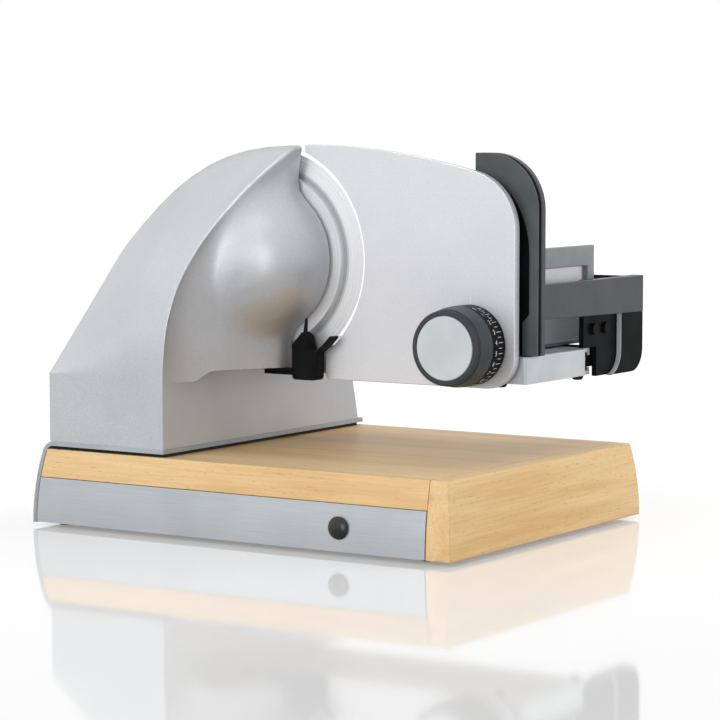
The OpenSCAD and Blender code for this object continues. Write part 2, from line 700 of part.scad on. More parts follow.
module start_button() color("dimgray") {
  rod_x(button_y, button_z, button_d, tower_x0 - button_out, tower_x0 + wall + button_in);
  translate([tower_x0 - button_out, button_y, button_z]) rotate([0, -90, 0])
    cylinder(d1 = button_d, d2 = button_d - 2, h = 1);
}
module cord_gland() color("black") gland_frame() difference() {
  union() {
    translate([0, 0, -3 * wall]) cylinder(d = gland_d, h = 3 * wall);
    cylinder(d1 = gland_d + 7, d2 = gland_d + 3, h = 4);
  }
  translate([0, 0, -4 * wall]) cylinder(d = 7.4, h = 6 * wall);
}

// Blade
module blade() color("gainsboro") difference() {
  turned(blade_x, blade_z, blade_y) polygon([
    [0, -dish], [bevel_r - step_w - 1, -dish], [bevel_r, -bevel_rise], [blade_r, 0],
    [bevel_r, -bevel_rise - blade_t], [bevel_r - step_w, -dish - blade_t], [0, -dish - blade_t]]);
  rod_y(blade_x, blade_z, 8, hub_y - through, blade_y);
}
module blade_shaft() color("darkgray") difference() {
  union() {
    rod_y(blade_x, blade_z, shaft_d, blade_gear_y - gear_w - 2, hub_y);
    rod_y(blade_x, blade_z, hub_d, hub_y - hub_t, hub_y);
  }
  rod_y(blade_x, blade_z, 5, hub_y - 12, hub_y + through);
}
module blade_screw() color("gray") difference() {
  union() {
    rod_y(blade_x, blade_z, 5, hub_y - 10, hub_y + blade_t);
    turned(blade_x, blade_z, hub_y + blade_t) polygon([[0, 0], [13, 0], [13, 0.8], [11, 2], [0, 2.4]]);
  }
  block([blade_x - 8, hub_y + blade_t + 1, blade_z - 1], [blade_x + 8, blade_y + through, blade_z + 1]);
}

// Guard below the blade, seated in a notch of the hood's lower corner
guard_right = gauge_foot_x - 0.8;
guard_left = guard_right - 22.4;
guard_low = gauge_z0 - 0.5;
tip_y0 = hood_y1 - 12;
tip_y1 = hood_y1 - 1;
tip_corner = 3;
arm_r = blade_r + blade_gap - 0.7;
arm_t = 1.9;
arm_from = -57;
arm_to = -41;
tab_l = 26;
tab_t = 4.6;
spur_t = 1.5;
spur_h = 18;
module tip_outline() polygon(concat(
  [[guard_left, guard_low + 27], [guard_left + 9, guard_low + 37], [guard_right - 9, guard_low + 34],
   [guard_right - 6, guard_low + 23], [guard_right, guard_low + 23]],
  arc([guard_right - tip_corner, guard_low + tip_corner], tip_corner, 0, -90, 4),
  arc([guard_left + tip_corner, guard_low + tip_corner], tip_corner, -90, -180, 4)));
module tip_guard() color([0.1, 0.1, 0.11]) union() {
  along_y(tip_y0, tip_y1) tip_outline();
  along_y(tip_y0, tip_y0 + spur_t) translate([guard_left + 9, guard_low + 30])
    polygon([[0, 0], [3.5, spur_h], [5, spur_h], [5, 0]]);
  along_y(tip_y0, tip_y1) translate([blade_x, blade_z]) polygon(concat(
    arc([0, 0], arm_r, arm_from, arm_to, 8), arc([0, 0], arm_r - arm_t, arm_to, arm_from, 8)));
  block([guard_left - tab_l, tip_y0, head_z - tab_t - slide_gap],
        [guard_left + 2, tip_y1, head_z - slide_gap]);
}

// Gauge plate
corner_turn = acos((gauge_x1 - corner_r - gauge_x0) / (top_arc_r - corner_r));
corner_c = [gauge_x0, gauge_z1 - top_arc_r] + (top_arc_r - corner_r) * [cos(corner_turn), sin(corner_turn)];
module gauge_outline() difference() {
  polygon(concat(
    arc([gauge_x0, gauge_z1 - top_arc_r], top_arc_r, 90, corner_turn, 10),
    arc(corner_c, corner_r, corner_turn, 0, 10),
    arc([gauge_x1 - low_corner_r, gauge_z0 + low_corner_r], low_corner_r, 0, -90, 8),
    arc([gauge_foot_x + 4, gauge_z0 + 4], 4, -90, -180, 4),
    [[gauge_foot_x, blade_z], [gauge_x0, blade_z]]));
  translate([blade_x, blade_z]) circle(blade_r + blade_gap, $fn = 180);
}
module gauge_plate() color("silver") difference() {
  along_y(gauge_y0, gauge_y1) gauge_outline();
  rod_y(knob_x, knob_z, knob_hub_d + 2 * slip, gauge_y0 - through, gauge_y1 + through);
}
module guide_rods() color("darkgray") for (x = guide_x) {
  rod_y(x, rod_z, rod_d, gauge_y1, gauge_y1 + rod_l);
  rod_y(x, rod_z, rod_d + 2 * bush_wall, gauge_y1, gauge_y1 + rod_collar_t);
}
module knob_clip() color("darkgray")
  tube_y(knob_x, knob_z, knob_hub_d + 6, knob_hub_d + 2 * slip, gauge_y1, gauge_y1 + clip_t);

// Thickness knob
grip_y1 = knob_y1 - scale_w;
ring_t = 5;
ring_floor = 3;
module knob_grip() color([0.28, 0.29, 0.3]) difference() {
  union() {
    turned(knob_x, knob_z, knob_y0) polygon(concat(
      [[0, 1], [inlay_d / 2, 1], [inlay_d / 2, 0]], arc([grip_d / 2 - 3, 3], 3, -90, 0, 6),
      [[scale_d / 2, grip_y1 - knob_y0], [0, grip_y1 - knob_y0]]));
    rod_y(knob_x, knob_z, knob_hub_d, grip_y1 - through, gauge_y1 + clip_t);
  }
  rod_y(knob_x, knob_z, spindle_d + 2 * slip, hub_bore_y, gauge_y1 + clip_t + through);
}
module knob_inlay() color("lightgray") turned(knob_x, knob_z, knob_y0)
  polygon([[0, 0], [inlay_d / 2 - 0.6, 0], [inlay_d / 2, 0.4], [inlay_d / 2, 1], [0, 1]]);
module scale_ring() color([0.1, 0.1, 0.11]) turned(knob_x, knob_z, grip_y1) polygon([
  [knob_hub_d / 2, 0], [scale_d / 2, 0], [scale_d / 2, scale_w],
  [scale_d / 2 - ring_t, scale_w], [scale_d / 2 - ring_t, ring_floor], [knob_hub_d / 2, ring_floor]]);

// Rail with its caps, bushes and the fixed spindle
module rail() color("silver") difference() {
  along_x(rail_x0, rail_x1) difference() {
    translate([rail_y0, rail_z0]) square([rail_w, rail_h]);
    translate([rail_y0 + rail_t, rail_z0 + rail_t]) square([slot_y0 - rail_y0 - 2 * rail_t, slot_h]);
    translate([slot_y0, rail_z0 + rail_t]) square([slot_w, slot_h]);
    translate([slot_y0, mouth_z]) square([slot_w + rail_t + through, mouth_h]);
  }
  for (x = guide_x) rod_y(x, rod_z, rod_d + 2 * bush_wall, rail_y0 - through, rail_y0 + rail_t + through);
  upright(rail_screw_at, screw_d, rail_z0 - through, rail_z0 + rail_t + through);
}
module rail_caps() color("lightgray") for (x = [rail_x0 - cap_t, rail_x1])
  block([x, rail_y0, rail_z0], [x + cap_t, slot_y0 - rail_t / 2, rail_z1]);
module rail_screws() color("darkgray") {
  upright(rail_screw_at, screw_d, crease_z - wall, crease_z + rail_t);
  upright(rail_screw_at, head_d, crease_z - wall - head_t, crease_z - wall);
}
bumper_h = 4;
bumper_at = [[rail_x1 - 24, rail_y0 + 10], [rail_x1 - 5, slot_y0 + 2]];
module rail_bumpers() color("black") for (p = bumper_at)
  translate([p.x, p.y, rail_z0 - bumper_h]) rotate_extrude()
    polygon([[0, 0], [3, 0.3], [4.3, 1.6], [4.8, bumper_h], [0, bumper_h]]);
module guide_bushes() color("goldenrod") for (x = guide_x)
  tube_y(x, rod_z, rod_d + 2 * bush_wall, rod_d + 2 * slip, rail_y0, rail_y0 + guide_l);
module spindle_bracket() color("dimgray") difference() {
  block([knob_x - bracket_w / 2, bracket_y, rail_z1],
        [knob_x + bracket_w / 2, bracket_y + bracket_t, knob_z + spindle_d]);
  rod_y(knob_x, knob_z, spindle_d, bracket_y - through, bracket_y + bracket_t + through);
}
module spindle() color("darkgray") rod_y(knob_x, knob_z, spindle_d, spindle_tip_y, bracket_y + bracket_t);

// Carriage: the thumb guard has a front cover, a black core and a back layer that is one with the grip band
guard_z1 = guard_z0 + guard_h;
cover_t = 2;
core_t = 4.5;
core_in = 1;
core_y0 = guard_y0 + cover_t;
core_y1 = core_y0 + core_t;
rim_w = 7.2;
rim_top = 14;
recess_h = 61;
recess_c = [guard_x0 - 4.6, guard_z1 - rim_top - recess_h];
heel_w = 12.8;
heel_h = 31;
module guard_outline(d) polygon(concat(
  [[guard_x0, guard_z0], [guard_x0, guard_z1 - d]],
  arc([carriage_x1 - guard_r, guard_z1 - guard_r], guard_r - d, 90, 0, 12), [[carriage_x1 - d, guard_z0]]));
module guard_recess() polygon(concat(
  [[guard_x0 - through, guard_z0 - through]],
  [for (a = [90:-7.5:0]) recess_c + [(carriage_x1 - rim_w - recess_c.x) * cos(a), recess_h * sin(a)]],
  [[carriage_x1 - rim_w, guard_z0 + heel_h], [carriage_x1 - heel_w, guard_z0 + 0.8 * heel_h],
   [carriage_x1 - heel_w, guard_z0 - through]]));
module thumb_guard() color([0.3, 0.31, 0.32]) along_y(guard_y0, core_y0) difference() {
  guard_outline(0);
  guard_recess();
  translate([guard_x0 - 2 * through, guard_z0 - through]) square([2 * through, guard_h - rim_top]);
}
module guard_core() color([0.08, 0.08, 0.09]) along_y(core_y0, core_y1) guard_outline(core_in);
band_drop = 2.6;
module carriage_frame() color([0.2, 0.2, 0.21]) {
  along_y(core_y1, guard_y1) guard_outline(0);
  along_x(band_x0, carriage_x1) polygon([[guard_y1, band_z0], [guard_y1, band_z1], [carriage_y1, band_z1],
    [carriage_y1, band_z0 - band_drop]]);
}
// Black cover at the far end of the rail: side wall, end wall behind the fingers and the leg under the band
leg_y0 = carriage_y1 - leg_w;
leg_top = band_z0 - band_drop * (leg_y0 - guard_y1) / (carriage_y1 - guard_y1);
leg_in = 0.5;
toe_r = 18;
leg_heel = arc([carriage_y1 - leg_r, leg_z0 + leg_r], leg_r, 0, -90, 8);
side_t = 4;
side_y0 = rail_y1 + 3;
side_over = 21;
end_over = 16;
module slide_cover() color([0.1, 0.1, 0.11]) {
  along_x(band_x0 - side_t, band_x0) polygon(concat(
    [[side_y0 - side_over, tray_z], [side_y0 - side_over, band_z1], [carriage_y1, band_z1]], leg_heel,
    [[side_y0, leg_z0], [side_y0, tray_z]]));
  block([inner_x0 - end_over, carriage_y1 - shell_t, leg_z0 + leg_r], [band_x0, carriage_y1, band_z1 - 1]);
  along_x(band_x0, carriage_x1 - leg_in) polygon(concat(
    [[carriage_y1, band_z0 - band_drop]],
    leg_heel,
    arc([leg_y0 - toe_r, leg_z0 + toe_r], toe_r, -90, 0, 8),
    [[leg_y0, leg_top]]));
}
module inner_panel() color([0.35, 0.36, 0.37]) difference() {
  union() {
    block([inner_x0, guard_y1, tray_z], [inner_x1, inner_y1, inner_z1]);
    block([inner_x0, inner_y1 - inner_leg, tray_z], [inner_x1, carriage_y1 - shell_t, band_z1 - 6]);
  }
  block([inner_x0 - through, guard_y1 + inner_leg, tray_z + 2 * sheet_t],
        [inner_x1 + through, inner_y1 - inner_leg, inner_z1 - inner_bar]);
}
module food_tray() color("gainsboro") {
  translate([0, 0, tray_z]) linear_extrude(sheet_t) polygon([
    [food_x0, food_y0], [strip_x1, food_y0], [strip_x1, guard_y1], [food_x1, guard_y1],
    [food_x1, food_y1], [food_x0, food_y1]]);
  block([food_x1 - sheet_t, guard_y1, tray_z], [food_x1, food_y1, inner_z1 - 2]);
}
module carriage_shoe() color("dimgray") along_x(food_x1 - shoe_in - shoe_l, food_x1 - shoe_in) {
  translate([slot_y0 + slide_gap, rail_z0 + rail_t + slide_gap])
    square([slot_w - 2 * slide_gap, slot_h - 2 * slide_gap]);
  translate([slot_y0 + slot_w / 2, mouth_z + slide_gap])
    square([slot_w / 2 + rail_t + shoe_out, mouth_h - 2 * slide_gap]);
  translate([rail_y1 + shoe_out - shoe_t, mouth_z + slide_gap])
    square([shoe_t, tray_z - mouth_z - slide_gap]);
}
bolt_d = 9;
bolt_t = 3;
module carriage_bolts() color("dimgray") for (y = [side_y0 - 6, side_y0 + 13])
  rod_x(y, band_z0 - 12, bolt_d, band_x0, band_x0 + bolt_t);

place() top_board();
place() right_rail();
place() left_rail();
place() back_rail();
place() bottom_panel();
place() feet();
place() drawer_runners();
place() drawer_front();
place() drawer_tray();
place() drawer_knob();
place() drawer_knob_screw();
place() base_plate();
place() plate_seal();
place() plate_screws();
place() housing();
place() housing_screws();
place() blade_bush();
place() idler_pin();
place() motor_posts();
place() motor_shields();
place() stator_core();
place() windings();
place() capacitor();
place() capacitor_clip();
place() switch_block();
place() button_bezel();
place() cord_gland();
place() tip_guard();
place() start_button();
place() blade();
place() blade_shaft();
place() blade_gear();
place() blade_screw();
place() idler_wheel();
place() idler_pinion();
place() rotor_core();
place() motor_shaft();
place() motor_pinion();
place() cooling_fan();
place() gauge_plate();
place() guide_rods();
place() knob_clip();
place() knob_grip();
place() knob_inlay();
place() scale_ring();
place() rail();
place() rail_caps();
place() rail_screws();
place() rail_bumpers();
place() guide_bushes();
place() spindle_bracket();
place() spindle();
place() carriage_frame();
place() thumb_guard();
place() guard_core();
place() slide_cover();
place() inner_panel();
place() food_tray();
place() carriage_shoe();
place() carriage_bolts();
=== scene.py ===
import json
import math
import bmesh
import bpy
from mathutils import Matrix, Vector


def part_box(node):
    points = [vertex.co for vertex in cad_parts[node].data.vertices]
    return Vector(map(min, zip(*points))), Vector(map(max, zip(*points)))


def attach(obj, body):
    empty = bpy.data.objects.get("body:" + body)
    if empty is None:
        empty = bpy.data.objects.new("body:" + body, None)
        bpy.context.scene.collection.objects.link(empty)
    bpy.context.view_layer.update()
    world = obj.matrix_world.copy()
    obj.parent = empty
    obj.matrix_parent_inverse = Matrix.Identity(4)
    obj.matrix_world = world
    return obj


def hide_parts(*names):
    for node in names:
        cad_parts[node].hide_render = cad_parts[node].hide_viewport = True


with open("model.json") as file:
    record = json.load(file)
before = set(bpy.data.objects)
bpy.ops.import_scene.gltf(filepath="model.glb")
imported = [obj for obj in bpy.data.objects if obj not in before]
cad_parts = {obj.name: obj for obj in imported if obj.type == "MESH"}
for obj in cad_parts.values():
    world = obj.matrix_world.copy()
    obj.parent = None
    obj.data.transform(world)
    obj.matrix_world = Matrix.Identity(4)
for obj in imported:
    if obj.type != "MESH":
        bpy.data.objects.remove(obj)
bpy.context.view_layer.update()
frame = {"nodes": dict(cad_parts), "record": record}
cad = frame["nodes"]
bodyOf = {node: body for body, members in frame["record"]["behaviour"]["bodies"].items() for node in members}
slotOf = {part["node"]: part["material_slot"] for part in frame["record"]["subparts"]}
mm = 0.001
print("frame loaded,", len(cad), "nodes")


def rgb(red, green, blue):
    # screen colour, 0 to 255, as the linear colour that shaders take
    linear = []
    for part in (red, green, blue):
        part = part / 255
        linear.append(part / 12.92 if part < 0.04045 else ((part + 0.055) / 1.055) ** 2.4)
    return (*linear, 1.0)


# Materials: each finish has a short function, and these few helpers wire its nodes
def newMaterial(name):
    material = bpy.data.materials.new(name)
    material.use_nodes = True
    shader = material.node_tree.nodes["Principled BSDF"]
    return material, material.node_tree, shader


def addNode(tree, kind, **values):
    node = tree.nodes.new(kind)
    for key, value in values.items():
        setattr(node, key, value)
    return node


def objectPoint(tree, scale=(1, 1, 1), centre=(0, 0, 0)):
    place = addNode(tree, "ShaderNodeTexCoord")
    mapping = addNode(tree, "ShaderNodeMapping")
    mapping.inputs["Scale"].default_value = scale
    mapping.inputs["Location"].default_value = [-c * s for c, s in zip(centre, scale)]
    tree.links.new(place.outputs["Object"], mapping.inputs["Vector"])
    return mapping.outputs["Vector"]


def noise(tree, vector, scale=1.0, detail=3.0, rough=0.5, distort=0.0):
    texture = addNode(tree, "ShaderNodeTexNoise")
    texture.inputs["Scale"].default_value = scale
    texture.inputs["Detail"].default_value = detail
    texture.inputs["Roughness"].default_value = rough
    texture.inputs["Distortion"].default_value = distort
    tree.links.new(vector, texture.inputs["Vector"])
    return texture.outputs["Fac"]


def ramp(tree, value, stops):
    node = addNode(tree, "ShaderNodeValToRGB")
    while len(node.color_ramp.elements) < len(stops):
        node.color_ramp.elements.new(0.5)
    for element, (position, colour) in zip(node.color_ramp.elements, stops):
        element.position = position
        element.color = colour
    tree.links.new(value, node.inputs["Fac"])
    return node.outputs["Color"]


def remap(tree, value, low, high, fromLow=0.3, fromHigh=0.7):
    node = addNode(tree, "ShaderNodeMapRange")
    node.inputs["From Min"].default_value = fromLow
    node.inputs["From Max"].default_value = fromHigh
    node.inputs["To Min"].default_value = low
    node.inputs["To Max"].default_value = high
    tree.links.new(value, node.inputs["Value"])
    return node.outputs["Result"]


def blendColour(tree, share, first, second, kind="MIX"):
    node = addNode(tree, "ShaderNodeMix", data_type="RGBA", blend_type=kind)
    for socket, value in ((node.inputs[0], share), (node.inputs[6], first), (node.inputs[7], second)):
        if isinstance(value, bpy.types.NodeSocket):
            tree.links.new(value, socket)
        else:
            socket.default_value = value
    return node.outputs[2]


def bump(tree, shader, height, strength, distance):
    node = addNode(tree, "ShaderNodeBump")
    node.inputs["Strength"].default_value = strength
    node.inputs["Distance"].default_value = distance
    tree.links.new(height, node.inputs["Height"])
    tree.links.new(node.outputs["Normal"], shader.inputs["Normal"])


def grainedPlastic(name, dark, light, rough, grain=2600, depth=0.03, shine=0.35):
    material, tree, shader = newMaterial(name)
    point = objectPoint(tree)
    cloud = noise(tree, point, 38, 4)
    tree.links.new(ramp(tree, cloud, [(0.35, dark), (0.65, light)]), shader.inputs["Base Color"])
    fine = noise(tree, point, grain, 2)
    tree.links.new(remap(tree, fine, rough - 0.04, rough + 0.06), shader.inputs["Roughness"])
    shader.inputs["Specular IOR Level"].default_value = shine
    bump(tree, shader, fine, depth, 0.2 * mm)
    return material


def brushedMetal(name, dark, light, rough, stretch, metallic=0.9, depth=0.05, anisotropy=0.4):
    # streaks: stretch is the noise's scale per axis, high across the brush marks and low along them
    material, tree, shader = newMaterial(name)
    streak = noise(tree, objectPoint(tree, stretch), 1, 3, 0.6)
    cloud = noise(tree, objectPoint(tree), 14, 3)
    base = ramp(tree, cloud, [(0.3, dark), (0.7, light)])
    lines = ramp(tree, streak, [(0.3, (0.86, 0.86, 0.87, 1)), (0.7, (1, 1, 1, 1))])
    tree.links.new(blendColour(tree, 1.0, base, lines, "MULTIPLY"), shader.inputs["Base Color"])
    shader.inputs["Metallic"].default_value = metallic
    shader.inputs["Anisotropic"].default_value = anisotropy
    tree.links.new(remap(tree, streak, rough - 0.05, rough + 0.08), shader.inputs["Roughness"])
    bump(tree, shader, streak, depth, 0.1 * mm)
    return material


casting = {"rough": 0.43, "metallic": 0.55, "grain": 1500, "cloud": 9, "bump": 0.05,
           "speck": (0.78, 0.78, 0.79, 1)}


def silverCasting(name, dark, light):
    # satin silver lacquer: fine metal flakes that sparkle a little
    material, tree, shader = newMaterial(name)
    point = objectPoint(tree)
    flake = noise(tree, point, casting["grain"], 2, 0.7)
    cloud = noise(tree, point, casting["cloud"], 3)
    base = ramp(tree, cloud, [(0.3, dark), (0.7, light)])
    speck = ramp(tree, flake, [(0.32, casting["speck"]), (0.68, (1, 1, 1, 1))])
    tree.links.new(blendColour(tree, 1.0, base, speck, "MULTIPLY"), shader.inputs["Base Color"])
    shader.inputs["Metallic"].default_value = casting["metallic"]
    rough = casting["rough"]
    tree.links.new(remap(tree, flake, rough - 0.05, rough + 0.08), shader.inputs["Roughness"])
    bump(tree, shader, flake, casting["bump"], 0.1 * mm)
    return material


beech = {
    "pale": rgb(244, 214, 165), "warm": rgb(235, 200, 146), "deep": rgb(223, 182, 124),
    "fleck": rgb(190, 142, 90),
    # along and across the fibres
    "bands": (2.2, 34), "fibres": (16, 520), "flecks": (130, 900), "coat": 0.12, "coatRough": 0.3,
}


def beechWood(name, grainAxis, centre):
    # grainAxis 0 runs the fibres along X, 1 along Y
    material, tree, shader = newMaterial(name)

    def along(length, across):
        scale = [across, across, across]
        scale[grainAxis] = length
        return objectPoint(tree, scale, centre)

    bands = noise(tree, along(*beech["bands"]), 1, 3, 0.55, 0.6)
    fibres = noise(tree, along(*beech["fibres"]), 1, 3, 0.6)
    flecks = noise(tree, along(*beech["flecks"]), 1, 1, 0.5)
    base = ramp(tree, bands, [(0.3, beech["deep"]), (0.48, beech["warm"]), (0.7, beech["pale"])])
    lines = ramp(tree, fibres, [(0.3, (0.87, 0.83, 0.78, 1)), (0.65, (1, 1, 1, 1))])
    wood = blendColour(tree, 1.0, base, lines, "MULTIPLY")
    spots = remap(tree, flecks, 0.0, 0.55, 0.64, 0.74)
    tree.links.new(blendColour(tree, spots, wood, beech["fleck"]), shader.inputs["Base Color"])
    tree.links.new(remap(tree, fibres, 0.42, 0.56), shader.inputs["Roughness"])
    shader.inputs["Coat Weight"].default_value = beech["coat"]
    shader.inputs["Coat Roughness"].default_value = beech["coatRough"]
    bump(tree, shader, fibres, 0.12, 0.1 * mm)
    return material


steel = {
    "dark": rgb(218, 219, 221), "light": rgb(232, 233, 235), "rough": 0.28, "metallic": 0.35, "marks": 2600,
    # where the painted shade on the step starts and ends, as shares of the way between these two radii
    "from": 60, "to": 85, "step": (0.26, 0.36, 0.44, 0.56), "paintedStepShade": rgb(176, 178, 181),
}


def turnedSteel(name, centre):
    # marks that run round an axis along Y: the pattern reads only the distance from the axis
    material, tree, shader = newMaterial(name)
    point = objectPoint(tree, (1, 0, 1), centre)
    length = addNode(tree, "ShaderNodeVectorMath", operation="LENGTH")
    tree.links.new(point, length.inputs[0])
    rings = addNode(tree, "ShaderNodeTexNoise", noise_dimensions="1D")
    rings.inputs["Scale"].default_value = steel["marks"]
    rings.inputs["Detail"].default_value = 3
    tree.links.new(length.outputs["Value"], rings.inputs["W"])
    base = ramp(tree, rings.outputs["Fac"], [(0.3, steel["dark"]), (0.7, steel["light"])])
    # painted shade: the step between the flat middle and the ground band is darkened in the colour, standing
    # in for the dark that its curved groove reflects
    reach = remap(tree, length.outputs["Value"], 0, 1, steel["from"] * mm, steel["to"] * mm)
    plain, stepShade = (1, 1, 1, 1), steel["paintedStepShade"]
    tone = ramp(tree, reach, list(zip(steel["step"], (plain, stepShade, stepShade, plain))))
    tree.links.new(blendColour(tree, 1.0, base, tone, "MULTIPLY"), shader.inputs["Base Color"])
    shader.inputs["Metallic"].default_value = steel["metallic"]
    rough = steel["rough"]
    tree.links.new(remap(tree, rings.outputs["Fac"], rough - 0.03, rough + 0.05), shader.inputs["Roughness"])
    bump(tree, shader, rings.outputs["Fac"], 0.02, 0.05 * mm)
    return material


bladeLow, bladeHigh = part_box("blade")
bladeCentre = (bladeLow + bladeHigh) / 2
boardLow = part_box("top_board")[0]
railEndLow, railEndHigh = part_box("right_rail")
finish = {
    "silver_casting": silverCasting("silverCasting", rgb(200, 202, 206), rgb(214, 216, 220)),
    "beech": beechWood("beechAlongX", 0, boardLow),
    "hardboard": grainedPlastic("hardboard", rgb(150, 118, 82), rgb(170, 136, 98), 0.7, 900, 0.1),
    "black_rubber": grainedPlastic("blackRubber", rgb(22, 22, 23), rgb(34, 34, 35), 0.72, 1200, 0.08),
    "runner_plastic": grainedPlastic("runnerPlastic", rgb(58, 60, 62), rgb(72, 74, 76), 0.5),
    "brushed_aluminium": brushedMetal("brushedAluminium", rgb(190, 196, 201), rgb(203, 208, 212), 0.34,
                                      (30, 2400, 2400), 0.5),
    "drawer_sheet": brushedMetal("drawerSheet", rgb(176, 178, 181), rgb(196, 198, 200), 0.4, (900, 40, 900)),
    "black_plastic": grainedPlastic("blackPlastic", rgb(16, 17, 18), rgb(26, 27, 29), 0.34, 2200, 0.02, 0.03),
    "screw_steel": brushedMetal("screwSteel", rgb(150, 152, 155), rgb(182, 184, 186), 0.36, (1500, 1500, 60)),
    "bronze": brushedMetal("bronze", rgb(160, 120, 66), rgb(188, 148, 90), 0.4, (600, 600, 600)),
    "shaft_steel": brushedMetal("shaftSteel", rgb(158, 160, 163), rgb(188, 190, 192), 0.28, (900, 60, 900)),
    "motor_iron": brushedMetal("motorIron", rgb(88, 90, 94), rgb(112, 114, 118), 0.5, (60, 2200, 60)),
    "copper_wire": brushedMetal("copperWire", rgb(150, 82, 48), rgb(190, 110, 66), 0.36, (1600, 300, 1600)),
    "white_plastic": grainedPlastic("whitePlastic", rgb(226, 226, 220), rgb(238, 238, 233), 0.45),
    "dark_plastic": grainedPlastic("darkPlastic", rgb(66, 71, 73), rgb(76, 81, 83), 0.4),
    "blade_steel": turnedSteel("bladeSteel", bladeCentre),
    # painted light: the food tray's steel is made nearly white, for the light that its shaded wall behind the
    # inner panel misses
    "tray_steel": brushedMetal("litTraySteel", rgb(236, 237, 239), rgb(244, 245, 246), 0.4,
                               (2200, 30, 2200), 0.2),
    "light_grey_plastic": grainedPlastic("lightGreyPlastic", rgb(194, 201, 203), rgb(204, 210, 212), 0.4),
}
beechAlongY = beechWood("beechAlongY", 1, railEndLow)
bandGrey = grainedPlastic("bandGrey", rgb(44, 49, 51), rgb(52, 58, 60), 0.3, shine=0.5)
gripGrey = grainedPlastic("gripGrey", rgb(50, 55, 57), rgb(58, 63, 65), 0.4)
# the inner panel's grey plastic, lighter than the grip band's: the extra lightness is painted light, for the
# brighter light on the panel
litPanelGrey = grainedPlastic("litPanelGrey", rgb(134, 141, 143), rgb(144, 151, 153), 0.4)
coverGrey = grainedPlastic("coverGrey", rgb(72, 78, 78), rgb(82, 87, 87), 0.38)
plateMetal = brushedMetal("plateMetal", rgb(166, 172, 177), rgb(178, 184, 188), 0.36, (30, 2400, 2400), 0.5)
# the gauge plate's copy of the silver lacquer, lighter than the housing's: the extra lightness is painted
# light, standing in for the lamp's reflection in the plate
litGaugeSilver = silverCasting("litGaugeSilver", rgb(228, 229, 233), rgb(240, 241, 244))
pullBlack = grainedPlastic("pullBlack", rgb(22, 23, 24), rgb(32, 33, 35), 0.3, 2200, 0.02, 0.6)
whitePrint = grainedPlastic("whitePrint", rgb(228, 230, 230), rgb(240, 241, 241), 0.5)
for node, piece in cad.items():
    piece.data.materials.clear()
    piece.data.materials.append(finish[slotOf[node]])
print("materials made,", len(bpy.data.materials))


# Shapes
weld = 0.002 * mm


def addPiece(name, mesh, body, material, replaced=(), sharp=35):
    piece = bpy.data.objects.new(name, mesh)
    bpy.context.scene.collection.objects.link(piece)
    mesh.materials.clear()
    mesh.materials.append(material)
    for face in mesh.polygons:
        face.use_smooth = True
    mesh.set_sharp_from_angle(angle=math.radians(sharp))
    even = piece.modifiers.new("evenNormals", "WEIGHTED_NORMAL")
    even.keep_sharp = True
    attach(piece, body)
    if replaced:
        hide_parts(*replaced)


def mergedCopy(node, flat=0.5):
    shape = bmesh.new()
    shape.from_mesh(cad[node].data)
    bmesh.ops.remove_doubles(shape, verts=shape.verts, dist=weld)
    bmesh.ops.dissolve_limit(shape, angle_limit=math.radians(flat), verts=shape.verts, edges=shape.edges)
    return shape


def asMesh(shape, name):
    mesh = bpy.data.meshes.new(name)
    shape.to_mesh(mesh)
    shape.free()
    return mesh


def edgesOver(shape, least):
    # edges where two faces meet at more than this many degrees
    limit = math.radians(least)
    return [edge for edge in shape.edges if len(edge.link_faces) == 2 and edge.calc_face_angle(0) > limit]


def roundEdges(shape, edges, radius, segments=3):
    bmesh.ops.bevel(shape, geom=edges, offset=radius * mm, offset_type="OFFSET", segments=segments,
                    profile=0.5, affect="EDGES", clamp_overlap=True, material=-1)


def roundedCopy(node, radius, name, material=None, least=40):
    # the node's own shape with its edges broken by a small radius
    shape = mergedCopy(node)
    roundEdges(shape, edgesOver(shape, least), radius)
    addPiece(name, asMesh(shape, name), bodyOf[node], material or finish[slotOf[node]], (node,))


rounded = [
    ("top_board", 1.0, "beechTopBoard", None),
    ("right_rail", 1.2, "beechEndRail", beechAlongY),
    ("left_rail", 0.8, "beechLeftRail", beechAlongY),
    ("back_rail", 0.8, "beechBackRail", None),
    ("bottom_panel", 0.4, "bottomPanel", None),
    ("feet", 0.8, "rubberFeet", None),
    ("base_plate", 0.5, "bentBasePlate", plateMetal),
    ("drawer_front", 0.6, "drawerFront", None),
    ("drawer_tray", 0.4, "drawerTray", None),
    ("gauge_plate", 0.7, "gaugePlate", litGaugeSilver),
    ("tip_guard", 0.5, "bladeTipGuard", None),
    ("thumb_guard", 0.6, "thumbGuard", coverGrey),
    ("guard_core", 0.3, "guardCore", None),
    ("slide_cover", 0.8, "slideCover", None),
    ("carriage_frame", 0.8, "gripBand", bandGrey),
    ("inner_panel", 0.8, "innerPanel", litPanelGrey),
    ("food_tray", 0.3, "foodTray", None),
    ("rail", 0.4, "carriageRail", None),
    ("rail_caps", 0.5, "railCaps", None),
    ("rail_bumpers", 0.6, "railBumpers", None),
    ("button_bezel", 0.5, "buttonRing", None),
    ("start_button", 0.8, "startButton", None),
    ("cord_gland", 0.5, "cordInlet", None),
    ("carriage_bolts", 0.3, "carriageBolts", finish["black_plastic"]),
    ("blade_screw", 0.2, "bladeScrew", None),
    ("guide_rods", 0.3, "guideRods", None),
    ("spindle_bracket", 0.4, "spindleBracket", None),
]
for node, radius, name, material in rounded:
    roundedCopy(node, radius, name, material)
print("rounded pieces made,", len(rounded))

# Motor housing: the cast shell, its facets smoothed, its edges and the crease above the front rounded
housing = {"crease": 119.5, "creaseTurn": 4, "near": 0.05, "edge": 1.0, "least": 50, "flat": 0.02,
           "sharp": 52}
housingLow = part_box("housing")[0]


